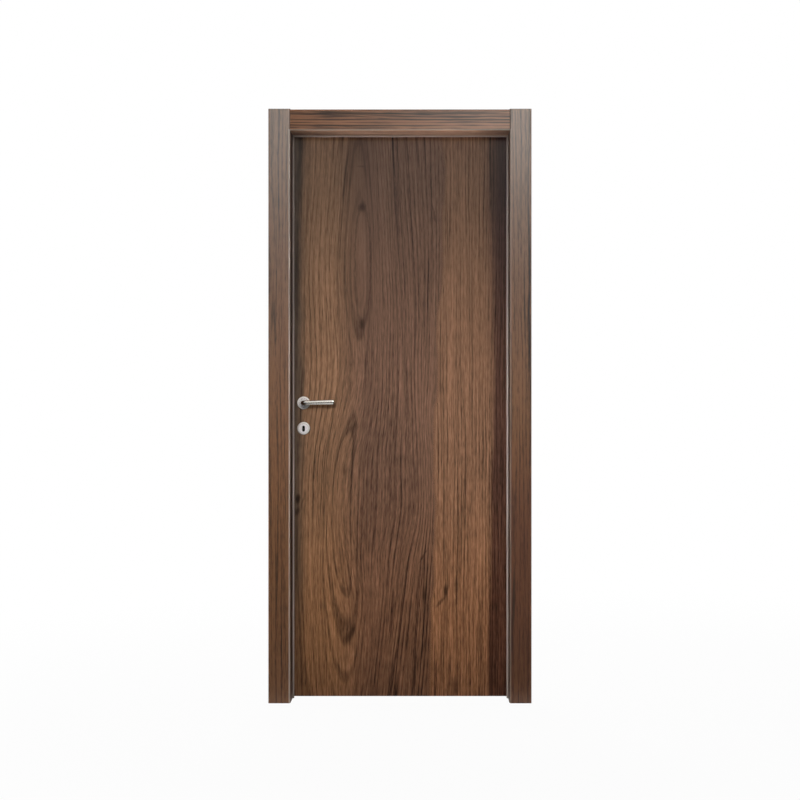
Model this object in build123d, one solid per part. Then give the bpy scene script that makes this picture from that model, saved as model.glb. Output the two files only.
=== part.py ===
"""Interior hinged door set: a walnut leaf with a lip, hung in a lined and cased wall opening.

-Y is the push side, where the leaf lies deep behind its stop, and +Y the pull side, with the hinges.
+Z is up. The origin is on the wall side of the hinge jamb, at floor level and midway through the wall,
and the doorway lies on the -X side of it. Lengths are millimetres.

Frame sections are drawn once as (u, v): u runs from the doorway face of a jamb into the wall,
and v is Y. The two uprights and the head share them.
"""

import os

from build123d import *

# Opening and wall
CLEAR_WIDTH = 804.0
CLEAR_HEIGHT = 2100.0
WALL_THICKNESS = 105.0

# Jambs
JAMB_THICKNESS = 45.0
REBATE_WIDTH = 14.0
REBATE_DEPTH = 27.5
JAMB_EDGE_RADIUS = 1.5

# Casings on the push side (front) and the pull side (back)
FRONT_CASING_WIDTH = 80.0
FRONT_CASING_THICKNESS = 12.0
FRONT_CASING_SETBACK = 1.0
BACK_CASING_THICKNESS = 10.0
BACK_CASING_LAP = 9.0
CASING_EDGE_RADIUS = 4.5
HEAD_CASING_DROP = 2.0
TONGUE_THICKNESS = 3.0
TONGUE_LENGTH = 10.0
FRONT_TONGUE_INSET = 20.0
BACK_TONGUE_INSET = 3.0

# Seal in the stop
SEAL_GAP = 5.0
SEAL_OVERHANG = 6.0
SEAL_BASE = 10.0
SEAL_NOSE_RADIUS = 2.0
SEAL_STEM_THICKNESS = 2.4
SEAL_STEM_LENGTH = 6.0
SEAL_STEM_INSET = 4.0

# Leaf
LEAF_THICKNESS = 44.0
EDGE_GAP = 5.0
FLOOR_GAP = 7.0
LIP_WIDTH = 11.0
LIP_GAP = 5.0
SKIN_THICKNESS = 4.0
HINGE_STILE_WIDTH = 60.0
LOCK_STILE_WIDTH = 100.0
TOP_RAIL_HEIGHT = 60.0
BOTTOM_RAIL_HEIGHT = 90.0

# Lock in the edge of the leaf, and its strike plate in the jamb
LEVER_HEIGHT = 1102.0
BACKSET = 50.0
KEY_DROP = 90.0
FACEPLATE_WIDTH = 18.0
FACEPLATE_HEIGHT = 196.0
FACEPLATE_THICKNESS = 3.0
CASE_THICKNESS = 14.0
CASE_DEPTH = 72.0
CASE_HEIGHT = 170.0
CASE_WALL = 1.5
BOLT_THICKNESS = 9.0
BOLT_LENGTH = 40.0
LATCH_HEIGHT = 28.0
DEAD_BOLT_HEIGHT = 34.0
STRIKE_WIDTH = 22.0
STRIKE_HEIGHT = 160.0
STRIKE_THICKNESS = 2.0
STRIKE_POCKET_DEPTH = 14.0
STRIKE_HOLE_MARGIN = 1.5

# Roses, keyhole and levers
ROSE_DIAMETER = 48.0
ROSE_THICKNESS = 8.0
ROSE_EDGE_RADIUS = 4.0
ROSE_DISH_DIAMETER = 36.0
ROSE_DISH_DEPTH = 1.2
COLLAR_DIAMETER = 24.0
KEY_ROSE_DROP = 5.0
KEYHOLE_EYE_DIAMETER = 8.6
KEYHOLE_SLOT_WIDTH = 5.4
KEYHOLE_FOOT_DIAMETER = 7.4
KEYHOLE_HEIGHT = 20.5
KEY_BORE_DIAMETER = 26.0
SPINDLE_SIDE = 8.0
SPINDLE_BORE_DIAMETER = 20.0
HUB_BORE_DIAMETER = 12.0
NECK_DIAMETER = 17.0
LEVER_REACH = 118.0
LEVER_STANDOFF = 50.0
LEVER_BEND_RADIUS = 14.0
LEVER_RISE = 2.6
GRIP_END_HEIGHT = 19.5
GRIP_END_DEPTH = 15.5
GRIP_END_RADIUS = 5.6

# Barrel hinges
HINGE_END_DISTANCE = 230.0
BARREL_DIAMETER = 13.0
BARREL_HALF_HEIGHT = 44.0
BARREL_CAP_RADIUS = 2.5
BARREL_GAP = 0.4
BARREL_CLEARANCE = 1.5
PIN_DIAMETER = 7.0
PIN_LENGTH = 30.0
SHANK_DIAMETER = 6.5
SHANK_DEPTH = 30.0

# Fits
FIT_SLACK = 0.2
RUNNING_SLACK = 0.3
PIN_SLACK = 0.1

# Places across the opening, worked out from the sizes above
HINGE_SIDE = 1
LOCK_SIDE = -1
MID_X = -(JAMB_THICKNESS + CLEAR_WIDTH / 2)
WALL_FRONT = -WALL_THICKNESS / 2
WALL_BACK = WALL_THICKNESS / 2
STOP_FACE = WALL_BACK - REBATE_DEPTH
CASING_OUTER = FRONT_CASING_SETBACK + FRONT_CASING_WIDTH
CASING_HEIGHT = CLEAR_HEIGHT + CASING_OUTER
BACK_CASING_INNER = JAMB_THICKNESS - BACK_CASING_LAP
FRONT_TONGUE = JAMB_THICKNESS - FRONT_TONGUE_INSET - TONGUE_THICKNESS
BACK_TONGUE = JAMB_THICKNESS - BACK_TONGUE_INSET - TONGUE_THICKNESS

LEAF_FRONT = STOP_FACE + SEAL_GAP
LEAF_BACK = LEAF_FRONT + LEAF_THICKNESS
LEAF_MIDDLE = (LEAF_FRONT + LEAF_BACK) / 2
LIP_FRONT = WALL_BACK + LIP_GAP
BODY_EDGE = REBATE_WIDTH - EDGE_GAP
LIP_EDGE = BODY_EDGE + LIP_WIDTH
BODY_HALF_WIDTH = CLEAR_WIDTH / 2 + BODY_EDGE
LIP_HALF_WIDTH = CLEAR_WIDTH / 2 + LIP_EDGE
BODY_TOP = CLEAR_HEIGHT + BODY_EDGE
LIP_TOP = CLEAR_HEIGHT + LIP_EDGE

LOCK_EDGE_X = MID_X - BODY_HALF_WIDTH
LOCK_Y = (LEAF_FRONT + LIP_FRONT) / 2
SPINDLE_X = LOCK_EDGE_X + BACKSET
KEY_HEIGHT = LEVER_HEIGHT - KEY_DROP
CASE_FRONT_X = LOCK_EDGE_X + FACEPLATE_THICKNESS
CASE_MIDDLE_Z = (LEVER_HEIGHT + KEY_HEIGHT) / 2

HINGE_AXIS_X = MID_X + LIP_HALF_WIDTH + BARREL_CLEARANCE + BARREL_DIAMETER / 2
HINGE_AXIS_Y = (LIP_FRONT + LEAF_BACK) / 2
LOWEST_HINGE = FLOOR_GAP + HINGE_END_DISTANCE
HIGHEST_HINGE = LIP_TOP - HINGE_END_DISTANCE
HINGE_HEIGHTS = {
    "bottom": LOWEST_HINGE,
    "middle": (LOWEST_HINGE + HIGHEST_HINGE) / 2,
    "top": HIGHEST_HINGE,
}


def block(x, y, z):
    """A box from pairs of low and high coordinates."""
    centre = Pos((x[0] + x[1]) / 2, (y[0] + y[1]) / 2, (z[0] + z[1]) / 2)
    return centre * Box(x[1] - x[0], y[1] - y[0], z[1] - z[0])


def slab(u, v):
    """A rectangle in the frame's section plane, from pairs of low and high coordinates."""
    return Pos((u[0] + u[1]) / 2, (v[0] + v[1]) / 2) * Rectangle(u[1] - u[0], v[1] - v[0])


def rod(start, direction, diameter, length):
    """A round bar from a start point along a direction."""
    end = Plane(origin=start, z_dir=direction)
    return extrude(end * Circle(diameter / 2), length)


# Frame: sections swept up both sides and across the head


def upright(section, side, height):
    plane = Plane(
        origin=(MID_X + side * CLEAR_WIDTH / 2, 0, 0), x_dir=(side, 0, 0), z_dir=(0, 0, side)
    )
    return extrude(plane * section, height, dir=(0, 0, 1))


def crossbar(section, half_length):
    plane = Plane(origin=(MID_X, 0, CLEAR_HEIGHT), x_dir=(0, 0, 1), z_dir=(-1, 0, 0))
    return extrude(plane * section, half_length, both=True)


def mitre(side):
    """The 45 degree plane through the doorway's top corner, facing the head."""
    corner = (MID_X + side * CLEAR_WIDTH / 2, 0, CLEAR_HEIGHT)
    return Plane(origin=corner, x_dir=(0, 1, 0), z_dir=(-side, 0, 1))


def mitred_upright(section, side):
    bar = upright(section, side, CLEAR_HEIGHT + JAMB_THICKNESS)
    return split(bar, bisect_by=mitre(side), keep=Keep.BOTTOM)


def mitred_head(section):
    bar = crossbar(section, CLEAR_WIDTH / 2 + JAMB_THICKNESS)
    for side in (LOCK_SIDE, HINGE_SIDE):
        bar = split(bar, bisect_by=mitre(side), keep=Keep.TOP)
    return bar


def tongue_groove(tongue):
    return (tongue - FIT_SLACK, tongue + TONGUE_THICKNESS + FIT_SLACK)


def jamb_section():
    """A lining board with a rebate for the leaf, grooves for the casings and a kerf for the seal."""
    groove_depth = TONGUE_LENGTH + FIT_SLACK
    kerf = (SEAL_STEM_INSET - FIT_SLACK, SEAL_STEM_INSET + SEAL_STEM_THICKNESS + FIT_SLACK)
    board = slab((0, JAMB_THICKNESS), (WALL_FRONT, WALL_BACK))
    board -= slab((0, REBATE_WIDTH), (STOP_FACE, WALL_BACK))
    doorway_corners = board.vertices().group_by(Axis.X)[0]
    board = fillet(doorway_corners, JAMB_EDGE_RADIUS)
    board -= slab(tongue_groove(FRONT_TONGUE), (WALL_FRONT, WALL_FRONT + groove_depth))
    board -= slab(tongue_groove(BACK_TONGUE), (WALL_BACK - groove_depth, WALL_BACK))
    board -= slab(kerf, (STOP_FACE - SEAL_STEM_LENGTH - FIT_SLACK, STOP_FACE))
    return board


def seal_section():
    """A soft strip on the stop with a round nose that shows past the jamb, and a stem in the kerf."""
    crown = LEAF_FRONT - RUNNING_SLACK
    strip = slab((-SEAL_OVERHANG, SEAL_BASE), (STOP_FACE, crown))
    strip = fillet(strip.vertices().group_by(Axis.X)[0], SEAL_NOSE_RADIUS)
    stem = (SEAL_STEM_INSET, SEAL_STEM_INSET + SEAL_STEM_THICKNESS)
    return strip + slab(stem, (STOP_FACE - SEAL_STEM_LENGTH, STOP_FACE))


def strike_cut(depth, margin):
    """The room that the latch and the dead bolt need in the lock jamb's rebate."""
    face = MID_X + LOCK_SIDE * (CLEAR_WIDTH / 2 + REBATE_WIDTH)
    half_thickness = BOLT_THICKNESS / 2 + margin
    holes = []
    for height, middle in ((LATCH_HEIGHT, LEVER_HEIGHT), (DEAD_BOLT_HEIGHT, KEY_HEIGHT)):
        half_height = height / 2 + margin
        holes.append(
            block(
                (face - depth, face),
                (LOCK_Y - half_thickness, LOCK_Y + half_thickness),
                (middle - half_height, middle + half_height),
            )
        )
    return holes


def strike_blank(slack):
    """The strike plate's outline, let into the lock jamb's rebate."""
    plane = Plane(
        origin=(MID_X + LOCK_SIDE * (CLEAR_WIDTH / 2 + REBATE_WIDTH), LOCK_Y, CASE_MIDDLE_Z),
        x_dir=(0, 0, 1),
        z_dir=(LOCK_SIDE, 0, 0),
    )
    outline = SlotOverall(STRIKE_HEIGHT + 2 * slack, STRIKE_WIDTH + 2 * slack)
    return extrude(plane * outline, STRIKE_THICKNESS)


def frame_shank(height):
    """The screwed stem of a hinge's lower half, through the jamb's pull side edge."""
    start = (HINGE_AXIS_X, HINGE_AXIS_Y, height - BARREL_HALF_HEIGHT / 2)
    return start, (0, -1, 0), HINGE_AXIS_Y - WALL_BACK + SHANK_DEPTH


def leaf_shank(height):
    """The screwed stem of a hinge's upper half, into the edge of the leaf's lip."""
    start = (HINGE_AXIS_X, HINGE_AXIS_Y, height + BARREL_HALF_HEIGHT / 2)
    return start, (-1, 0, 0), HINGE_AXIS_X - (MID_X + LIP_HALF_WIDTH) + SHANK_DEPTH


def shank_hole(shank):
    start, direction, length = shank
    return rod(start, direction, SHANK_DIAMETER + 2 * FIT_SLACK, length + FIT_SLACK)


def make_hinge_jamb():
    jamb = mitred_upright(jamb_section(), HINGE_SIDE)
    for height in HINGE_HEIGHTS.values():
        jamb -= shank_hole(frame_shank(height))
    return jamb


def make_lock_jamb():
    jamb = mitred_upright(jamb_section(), LOCK_SIDE) - strike_blank(FIT_SLACK)
    for pocket in strike_cut(STRIKE_THICKNESS + STRIKE_POCKET_DEPTH, STRIKE_HOLE_MARGIN):
        jamb -= pocket
    return jamb


def make_strike_plate():
    plate = strike_blank(0)
    for hole in strike_cut(STRIKE_THICKNESS, STRIKE_HOLE_MARGIN):
        plate -= hole
    return plate


def casing_board(u, wall_face, outward, thickness):
    """A casing's cross-section, flat on the wall, with its two show edges rounded."""
    show_face = wall_face + outward * thickness
    board = slab(u, (min(wall_face, show_face), max(wall_face, show_face)))
    show_corners = board.vertices().group_by(Axis.Y)[0 if outward < 0 else -1]
    return fillet(show_corners, CASING_EDGE_RADIUS)


def casing_tongue(tongue, wall_face, outward):
    inner = wall_face - outward * TONGUE_LENGTH
    v = (min(wall_face, inner), max(wall_face, inner))
    return slab((tongue, tongue + TONGUE_THICKNESS), v)


def make_casings(prefix, inner, thickness, tongue, wall_face, outward):
    """Two full-height uprights with the head piece butted between them, all tongued into the jambs."""
    tongue_part = casing_tongue(tongue, wall_face, outward)
    side_board = casing_board((inner, CASING_OUTER), wall_face, outward, thickness)
    head_board = casing_board(
        (inner, CASING_OUTER - HEAD_CASING_DROP), wall_face, outward, thickness
    )
    pieces = {}
    for name, side in (("left", LOCK_SIDE), ("right", HINGE_SIDE)):
        board = upright(side_board, side, CASING_HEIGHT)
        pieces[f"{prefix}_casing_{name}"] = board + upright(tongue_part, side, CLEAR_HEIGHT)
    half_length = CLEAR_WIDTH / 2 + inner
    board = crossbar(head_board, half_length)
    pieces[f"{prefix}_casing_head"] = board + crossbar(tongue_part, half_length)
    return pieces


# Leaf: two skins on a softwood surround, rebated all round but for the foot


def make_front_skin():
    skin = block(
        (MID_X - BODY_HALF_WIDTH, MID_X + BODY_HALF_WIDTH),
        (LEAF_FRONT, LEAF_FRONT + SKIN_THICKNESS),
        (FLOOR_GAP, BODY_TOP),
    )
    return skin - furniture_bores()


def make_back_skin():
    skin = block(
        (MID_X - LIP_HALF_WIDTH, MID_X + LIP_HALF_WIDTH),
        (LEAF_BACK - SKIN_THICKNESS, LEAF_BACK),
        (FLOOR_GAP, LIP_TOP),
    )
    return skin - furniture_bores()


def furniture_bores():
    """Round holes through the leaf for the spindle and the key."""
    start_y = LEAF_FRONT
    spindle = rod((SPINDLE_X, start_y, LEVER_HEIGHT), (0, 1, 0), SPINDLE_BORE_DIAMETER, LEAF_THICKNESS)
    key_centre = (SPINDLE_X, start_y, KEY_HEIGHT - KEY_ROSE_DROP)
    return spindle + rod(key_centre, (0, 1, 0), KEY_BORE_DIAMETER, LEAF_THICKNESS)


CORE_FRONT = LEAF_FRONT + SKIN_THICKNESS
CORE_BACK = LEAF_BACK - SKIN_THICKNESS


def make_stile(side, width):
    """An upright of the surround: the body closes into the rebate and the lip laps the jamb."""
    inner = MID_X + side * (BODY_HALF_WIDTH - width)
    body_edge = MID_X + side * BODY_HALF_WIDTH
    lip_edge = MID_X + side * LIP_HALF_WIDTH
    body = block(sorted((inner, body_edge)), (CORE_FRONT, CORE_BACK), (FLOOR_GAP, BODY_TOP))
    lip = block(sorted((inner, lip_edge)), (LIP_FRONT, CORE_BACK), (FLOOR_GAP, LIP_TOP))
    return body + lip


def make_lock_stile():
    case = block(
        (CASE_FRONT_X, CASE_FRONT_X + CASE_DEPTH + FIT_SLACK),
        (LOCK_Y - CASE_THICKNESS / 2 - FIT_SLACK, LOCK_Y + CASE_THICKNESS / 2 + FIT_SLACK),
        (
            CASE_MIDDLE_Z - CASE_HEIGHT / 2 - FIT_SLACK,
            CASE_MIDDLE_Z + CASE_HEIGHT / 2 + FIT_SLACK,
        ),
    )
    stile = make_stile(LOCK_SIDE, LOCK_STILE_WIDTH)
    return stile - case - faceplate_blank(FIT_SLACK) - furniture_bores()


def make_hinge_stile():
    stile = make_stile(HINGE_SIDE, HINGE_STILE_WIDTH)
    for height in HINGE_HEIGHTS.values():
        stile -= shank_hole(leaf_shank(height))
    return stile


def rail_width():
    return (
        MID_X - BODY_HALF_WIDTH + LOCK_STILE_WIDTH,
        MID_X + BODY_HALF_WIDTH - HINGE_STILE_WIDTH,
    )


def make_top_rail():
    foot = BODY_TOP - TOP_RAIL_HEIGHT
    body = block(rail_width(), (CORE_FRONT, CORE_BACK), (foot, BODY_TOP))
    return body + block(rail_width(), (LIP_FRONT, CORE_BACK), (foot, LIP_TOP))


def make_bottom_rail():
    return block(
        rail_width(), (CORE_FRONT, CORE_BACK), (FLOOR_GAP, FLOOR_GAP + BOTTOM_RAIL_HEIGHT)
    )


# Lock: a sheet steel case behind a faceplate, with both bolts drawn back


def faceplate_blank(slack):
    plane = Plane(origin=(LOCK_EDGE_X, LOCK_Y, CASE_MIDDLE_Z), x_dir=(0, 0, 1), z_dir=(1, 0, 0))
    outline = SlotOverall(FACEPLATE_HEIGHT + 2 * slack, FACEPLATE_WIDTH + 2 * slack)
    return extrude(plane * outline, FACEPLATE_THICKNESS)


def bolt(height, middle, slack):
    half_thickness = BOLT_THICKNESS / 2 + slack
    half_height = height / 2 + slack
    return block(
        (LOCK_EDGE_X, LOCK_EDGE_X + BOLT_LENGTH),
        (LOCK_Y - half_thickness, LOCK_Y + half_thickness),
        (middle - half_height, middle + half_height),
    )


def make_faceplate():
    plate = faceplate_blank(0)
    plate -= bolt(LATCH_HEIGHT, LEVER_HEIGHT, FIT_SLACK)
    return plate - bolt(DEAD_BOLT_HEIGHT, KEY_HEIGHT, FIT_SLACK)


def make_latch_bolt():
    """The latch has one sloped cheek, on the side that meets the strike first."""
    latch = bolt(LATCH_HEIGHT, LEVER_HEIGHT, 0)
    nose = latch.edges().filter_by(Axis.Z).group_by(Axis.X)[0].sort_by(Axis.Y)[0]
    return chamfer(nose, FACEPLATE_THICKNESS, BOLT_THICKNESS * 2 / 3)


def make_lock_case():
    def shell(inset):
        return block(
            (CASE_FRONT_X, CASE_FRONT_X + CASE_DEPTH - inset),
            (LOCK_Y - CASE_THICKNESS / 2 + inset, LOCK_Y + CASE_THICKNESS / 2 - inset),
            (CASE_MIDDLE_Z - CASE_HEIGHT / 2 + inset, CASE_MIDDLE_Z + CASE_HEIGHT / 2 - inset),
        )

    start_y = LOCK_Y - CASE_THICKNESS / 2
    hub = rod((SPINDLE_X, start_y, LEVER_HEIGHT), (0, 1, 0), HUB_BORE_DIAMETER, CASE_THICKNESS)
    return shell(0) - shell(CASE_WALL) - hub - keyhole(start_y, CASE_THICKNESS)


# Furniture on the push side; the pull side has its mirror image


def keyhole(start_y, depth):
    """A round eye over a narrow slot with a round foot, cut through along Y."""
    plane = Plane(origin=(SPINDLE_X, start_y, KEY_HEIGHT), x_dir=(1, 0, 0), z_dir=(0, -1, 0))
    foot_drop = KEYHOLE_HEIGHT - KEYHOLE_EYE_DIAMETER / 2 - KEYHOLE_FOOT_DIAMETER / 2
    outline = Circle(KEYHOLE_EYE_DIAMETER / 2)
    outline += Pos(0, -foot_drop / 2) * Rectangle(KEYHOLE_SLOT_WIDTH, foot_drop)
    outline += Pos(0, -foot_drop) * Circle(KEYHOLE_FOOT_DIAMETER / 2)
    return extrude(plane * outline, depth, dir=(0, 1, 0))


def rose_disc(height):
    """A turned disc on the push side skin with a rounded rim."""
    disc = rod((SPINDLE_X, LEAF_FRONT, height), (0, -1, 0), ROSE_DIAMETER, ROSE_THICKNESS)
    rim = disc.edges().filter_by(GeomType.CIRCLE).sort_by(Axis.Y)[0]
    return fillet(rim, ROSE_EDGE_RADIUS)


def make_lever_rose():
    """The lever's rose is dished between its rim and the collar round the lever's neck."""
    face = (SPINDLE_X, LEAF_FRONT - ROSE_THICKNESS, LEVER_HEIGHT)
    dish = rod(face, (0, 1, 0), ROSE_DISH_DIAMETER, ROSE_DISH_DEPTH)
    dish -= rod(face, (0, 1, 0), COLLAR_DIAMETER, ROSE_DISH_DEPTH)
    bore = rod(face, (0, 1, 0), NECK_DIAMETER + 2 * RUNNING_SLACK, ROSE_THICKNESS)
    return rose_disc(LEVER_HEIGHT) - dish - bore


def make_key_rose():
    return rose_disc(KEY_HEIGHT - KEY_ROSE_DROP) - keyhole(
        LEAF_FRONT - ROSE_THICKNESS, ROSE_THICKNESS
    )


def make_lever():
    """A round neck, an elbow, and a grip that swells and rises towards its rounded end."""
    neck_length = LEVER_STANDOFF - LEVER_BEND_RADIUS
    neck = rod((SPINDLE_X, LEAF_FRONT, LEVER_HEIGHT), (0, -1, 0), NECK_DIAMETER, neck_length)

    bend_y = LEAF_FRONT - neck_length
    elbow_start = Plane(origin=(SPINDLE_X, bend_y, LEVER_HEIGHT), z_dir=(0, -1, 0))
    bend_axis = Axis((SPINDLE_X + LEVER_BEND_RADIUS, bend_y, LEVER_HEIGHT), (0, 0, 1))
    elbow = revolve(elbow_start * Circle(NECK_DIAMETER / 2), bend_axis, 90)

    grip_y = LEAF_FRONT - LEVER_STANDOFF
    grip_start = Plane(
        origin=(SPINDLE_X + LEVER_BEND_RADIUS, grip_y, LEVER_HEIGHT),
        x_dir=(0, 1, 0),
        z_dir=(1, 0, 0),
    )
    grip_end = Plane(
        origin=(SPINDLE_X + LEVER_REACH, grip_y, LEVER_HEIGHT + LEVER_RISE),
        x_dir=(0, 1, 0),
        z_dir=(1, 0, 0),
    )
    grip = loft(
        [
            grip_start * Ellipse(NECK_DIAMETER / 2, NECK_DIAMETER / 2),
            grip_end * Ellipse(GRIP_END_DEPTH / 2, GRIP_END_HEIGHT / 2),
        ]
    )
    end_edge = grip.edges().group_by(Axis.X)[-1]
    return neck + elbow + fillet(end_edge, GRIP_END_RADIUS)


def make_spindle():
    return block(
        (SPINDLE_X - SPINDLE_SIDE / 2, SPINDLE_X + SPINDLE_SIDE / 2),
        (LEAF_FRONT, LEAF_BACK),
        (LEVER_HEIGHT - SPINDLE_SIDE / 2, LEVER_HEIGHT + SPINDLE_SIDE / 2),
    )


def on_pull_side(piece):
    return mirror(piece, about=Plane(origin=(0, LEAF_MIDDLE, 0), z_dir=(0, 1, 0)))


# Barrel hinges: the frame's half carries the pin, and the leaf's half drops over it


def half_barrel(height, direction):
    start = (HINGE_AXIS_X, HINGE_AXIS_Y, height + direction * BARREL_GAP / 2)
    barrel = rod(start, (0, 0, direction), BARREL_DIAMETER, BARREL_HALF_HEIGHT)
    ends = barrel.edges().filter_by(GeomType.CIRCLE).sort_by(Axis.Z)
    return fillet(ends[-1] if direction > 0 else ends[0], BARREL_CAP_RADIUS)


def make_frame_hinge(height):
    start, direction, length = frame_shank(height)
    pin_foot = (HINGE_AXIS_X, HINGE_AXIS_Y, height - BARREL_GAP / 2)
    body = half_barrel(height, -1) + rod(start, direction, SHANK_DIAMETER, length)
    return body + rod(pin_foot, (0, 0, 1), PIN_DIAMETER, PIN_LENGTH)


def make_leaf_hinge(height):
    start, direction, length = leaf_shank(height)
    bore_foot = (HINGE_AXIS_X, HINGE_AXIS_Y, height)
    body = half_barrel(height, 1) + rod(start, direction, SHANK_DIAMETER, length)
    return body - rod(bore_foot, (0, 0, 1), PIN_DIAMETER + 2 * PIN_SLACK, PIN_LENGTH + FIT_SLACK)


def make_door():
    nodes = {
        "hinge_jamb": make_hinge_jamb(),
        "lock_jamb": make_lock_jamb(),
        "head_jamb": mitred_head(jamb_section()),
        "seal_left": mitred_upright(seal_section(), LOCK_SIDE),
        "seal_right": mitred_upright(seal_section(), HINGE_SIDE),
        "seal_head": mitred_head(seal_section()),
        "strike_plate": make_strike_plate(),
        "leaf_front_skin": make_front_skin(),
        "leaf_back_skin": make_back_skin(),
        "leaf_lock_stile": make_lock_stile(),
        "leaf_hinge_stile": make_hinge_stile(),
        "leaf_top_rail": make_top_rail(),
        "leaf_bottom_rail": make_bottom_rail(),
        "lock_case": make_lock_case(),
        "lock_faceplate": make_faceplate(),
        "latch_bolt": make_latch_bolt(),
        "dead_bolt": bolt(DEAD_BOLT_HEIGHT, KEY_HEIGHT, 0),
        "spindle": make_spindle(),
    }
    nodes |= make_casings(
        "front", FRONT_CASING_SETBACK, FRONT_CASING_THICKNESS, FRONT_TONGUE, WALL_FRONT, -1
    )
    nodes |= make_casings(
        "back", BACK_CASING_INNER, BACK_CASING_THICKNESS, BACK_TONGUE, WALL_BACK, 1
    )
    furniture = {"rose": make_lever_rose(), "key_rose": make_key_rose(), "lever": make_lever()}
    for name, piece in furniture.items():
        nodes[f"front_{name}"] = piece
        nodes[f"back_{name}"] = on_pull_side(piece)
    for name, height in HINGE_HEIGHTS.items():
        nodes[f"frame_hinge_{name}"] = make_frame_hinge(height)
        nodes[f"leaf_hinge_{name}"] = make_leaf_hinge(height)
    return nodes


os.makedirs("parts", exist_ok=True)
for node_name, node in make_door().items():
    export_step(node, f"parts/{node_name}.step")
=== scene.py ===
from math import pi, radians

import bmesh
import bpy
from mathutils import Matrix, Vector


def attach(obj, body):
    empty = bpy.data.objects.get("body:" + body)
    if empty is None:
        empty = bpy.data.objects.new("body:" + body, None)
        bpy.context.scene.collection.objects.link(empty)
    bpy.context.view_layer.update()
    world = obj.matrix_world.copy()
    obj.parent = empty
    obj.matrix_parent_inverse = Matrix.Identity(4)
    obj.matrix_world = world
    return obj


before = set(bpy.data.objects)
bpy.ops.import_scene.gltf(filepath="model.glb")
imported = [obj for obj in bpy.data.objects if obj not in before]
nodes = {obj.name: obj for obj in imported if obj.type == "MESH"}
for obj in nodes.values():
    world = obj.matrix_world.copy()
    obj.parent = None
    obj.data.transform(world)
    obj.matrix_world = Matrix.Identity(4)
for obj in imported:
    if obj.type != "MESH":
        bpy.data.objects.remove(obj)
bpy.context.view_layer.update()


# Jambs
# Three rebated linings wrapped in a walnut print film, mitred at the top corners and fixed to the wall.
# The film is satin, its grain runs along each board, and the print's pores are pressed into it.

def srgb(red, green, blue):
    """A colour as a screen shows it, from 0 to 255, as the linear colour that a shader takes."""
    def linear(level):
        share = level / 255
        return share / 12.92 if share <= 0.04045 else ((share + 0.055) / 1.055) ** 2.4
    return (linear(red), linear(green), linear(blue), 1.0)


def add_node(tree, kind, inputs=None, **settings):
    """A shader node with its settings, whose inputs are plain values or other nodes' outputs."""
    made = tree.nodes.new(kind)
    for name, value in settings.items():
        setattr(made, name, value)
    for key, value in (inputs or {}).items():
        if isinstance(value, bpy.types.NodeSocket):
            tree.links.new(value, made.inputs[key])
        else:
            made.inputs[key].default_value = value
    return made


def maths(tree, operation, first, second=0.0, third=0.0):
    """One step of arithmetic on values or on nodes' outputs."""
    inputs = {0: first, 1: second, 2: third}
    return add_node(tree, "ShaderNodeMath", inputs, operation=operation).outputs[0]


def fade(tree, value, low, high, to_low=0.0, to_high=1.0):
    """A value taken smoothly from one range to another and held at its ends."""
    inputs = {0: value, 1: low, 2: high, 3: to_low, 4: to_high}
    return add_node(tree, "ShaderNodeMapRange", inputs, interpolation_type="SMOOTHSTEP").outputs[0]


def mixed(tree, share, first, second, blend="MIX"):
    """Two colours mixed by a share from 0 to 1."""
    inputs = {0: share, 6: first, 7: second}
    return add_node(tree, "ShaderNodeMix", inputs, data_type="RGBA", blend_type=blend).outputs[2]


def noise(tree, x, y, z, detail=2.0, roughness=0.5):
    """Noise at a place given as three values, already scaled to the size of its marks."""
    place = add_node(tree, "ShaderNodeCombineXYZ", {0: x, 1: y, 2: z}).outputs[0]
    inputs = {"Vector": place, "Scale": 1.0, "Detail": detail, "Roughness": roughness}
    return add_node(tree, "ShaderNodeTexNoise", inputs).outputs["Fac"]


def apart(tree, first, second):
    """How far two values are apart."""
    return maths(tree, "ABSOLUTE", maths(tree, "SUBTRACT", first, second))


def ruffle(tree, value, waves, strength):
    """A value moved up and down by a noise, which swings about one half."""
    return maths(tree, "MULTIPLY_ADD", maths(tree, "SUBTRACT", waves, 0.5), strength, value)


def start_group(name, takes, gives):
    """A shader node group whose inputs and outputs are plain numbers."""
    tree = bpy.data.node_groups.new(name, "ShaderNodeTree")
    for in_out, sockets in (("INPUT", takes), ("OUTPUT", gives)):
        for socket in sockets:
            tree.interface.new_socket(socket, in_out=in_out, socket_type="NodeSocketFloat")
    given = tree.nodes.new("NodeGroupInput").outputs
    result = tree.nodes.new("NodeGroupOutput").inputs
    return tree, given, result


RINGS_PER_METRE = 62.0
RING_DRIFT = 22.0
GRAIN_SWAY = 0.010
# How far each part of the grain lightens or darkens the wood, starting from the shade of plain wood.
PLAIN_SHADE = 1.17
TONE_STRENGTH = 0.6
THREAD_STRENGTH = 1.6
DASH_STRENGTH = 1.4
RING_STRENGTH = -0.44
DARK_LINE_STRENGTH = -0.48
PORE_STRENGTH = -0.20
DARKEST_SHADE = 0.22


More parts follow.
